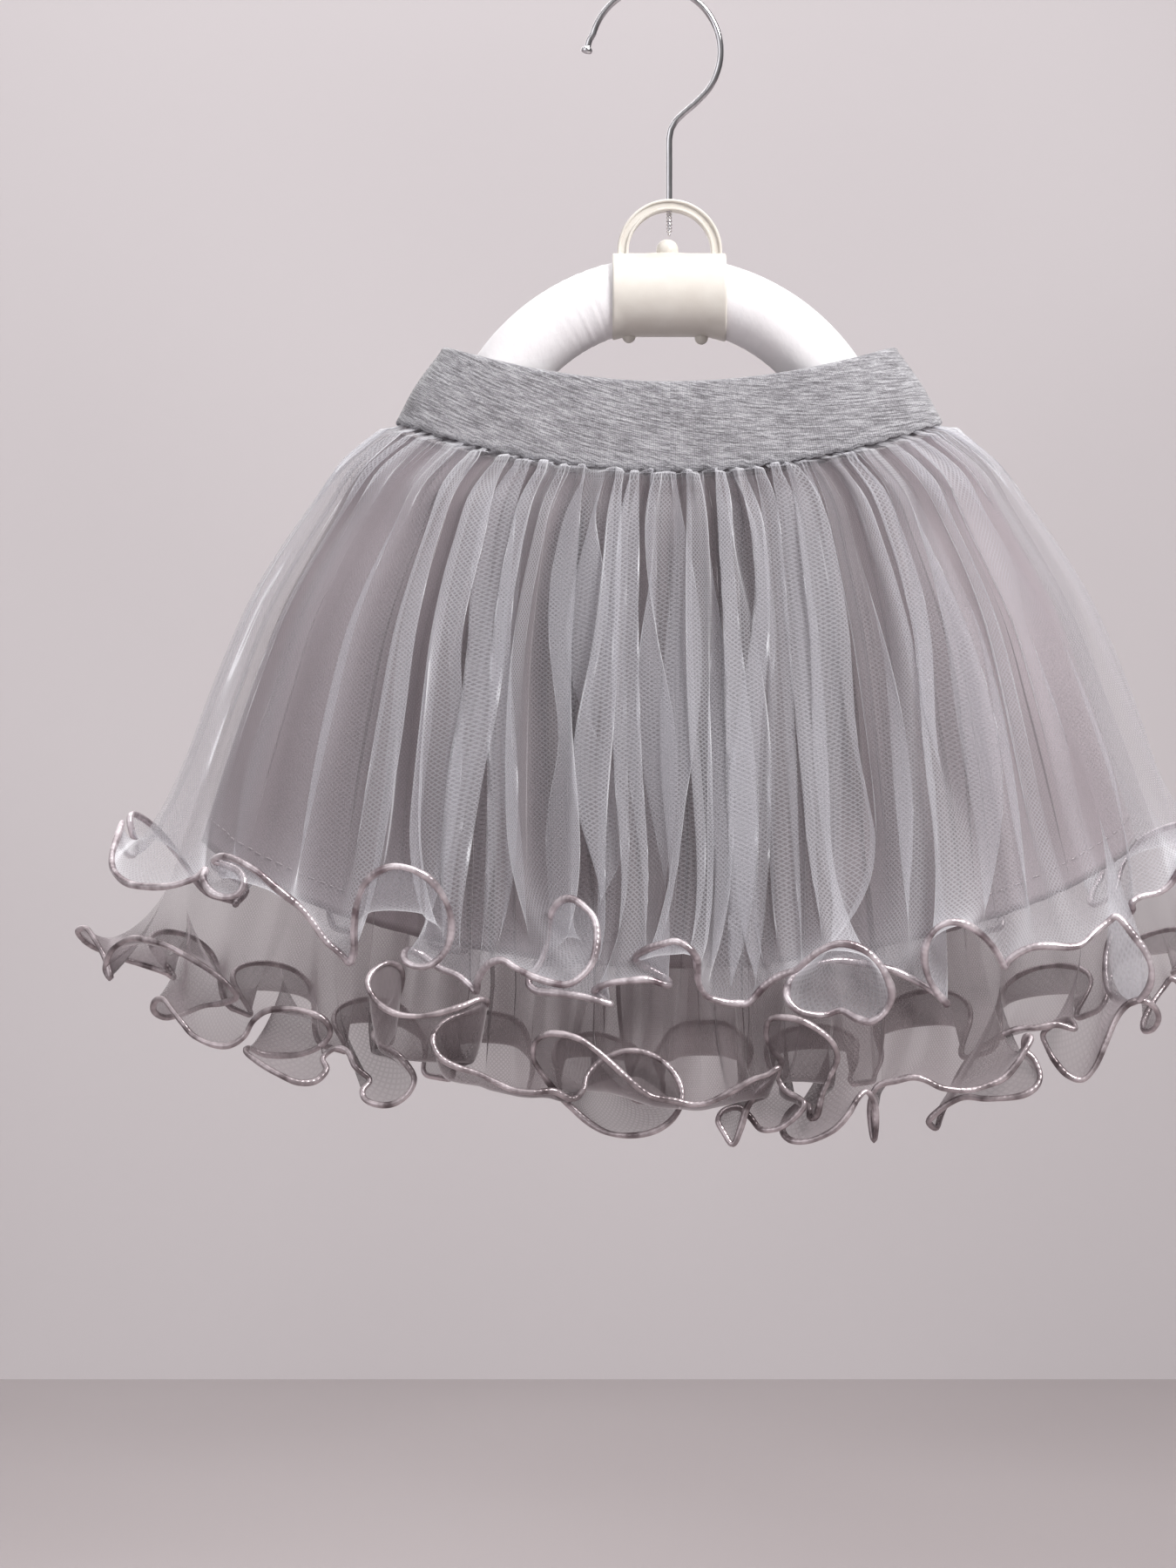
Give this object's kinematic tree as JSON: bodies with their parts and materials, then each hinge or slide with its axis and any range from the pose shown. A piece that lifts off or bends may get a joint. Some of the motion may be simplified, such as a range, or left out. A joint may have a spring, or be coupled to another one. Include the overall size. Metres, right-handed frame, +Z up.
{
  "type": "tulle skirt on a hanger",
  "caption": "Layered tulle skirt with a jersey waistband, a lining and curled rolled hems, hanging on a small padded hanger with a wire hook.",
  "frame": {"origin": "inside of the crown of the hanger's wire hook, where a rail holds it", "axes": "+Z up along the hanger's stem, +X across the skirt to the right as seen from the front, -Y the front"},
  "size_m": [0.4545, 0.2335, 0.4504],
  "materials": {
    "jersey": "heather grey jersey knit",
    "net": "fine grey net, see-through",
    "lining": "plain mauve-grey lining cloth",
    "binding": "satin rolled binding",
    "padding": "white padded cover",
    "plastic": "cream moulded plastic",
    "metal": "polished wire"
  },
  "bodies": {
    "root": {"waistband": "jersey", "net_outer": "net", "net_under": "net", "lining": "lining", "binding_outer": "binding", "binding_under": "binding", "hanger_tube": "padding", "hanger_clamp": "plastic", "hanger_hook": "metal"}
  },
  "joints": []
}
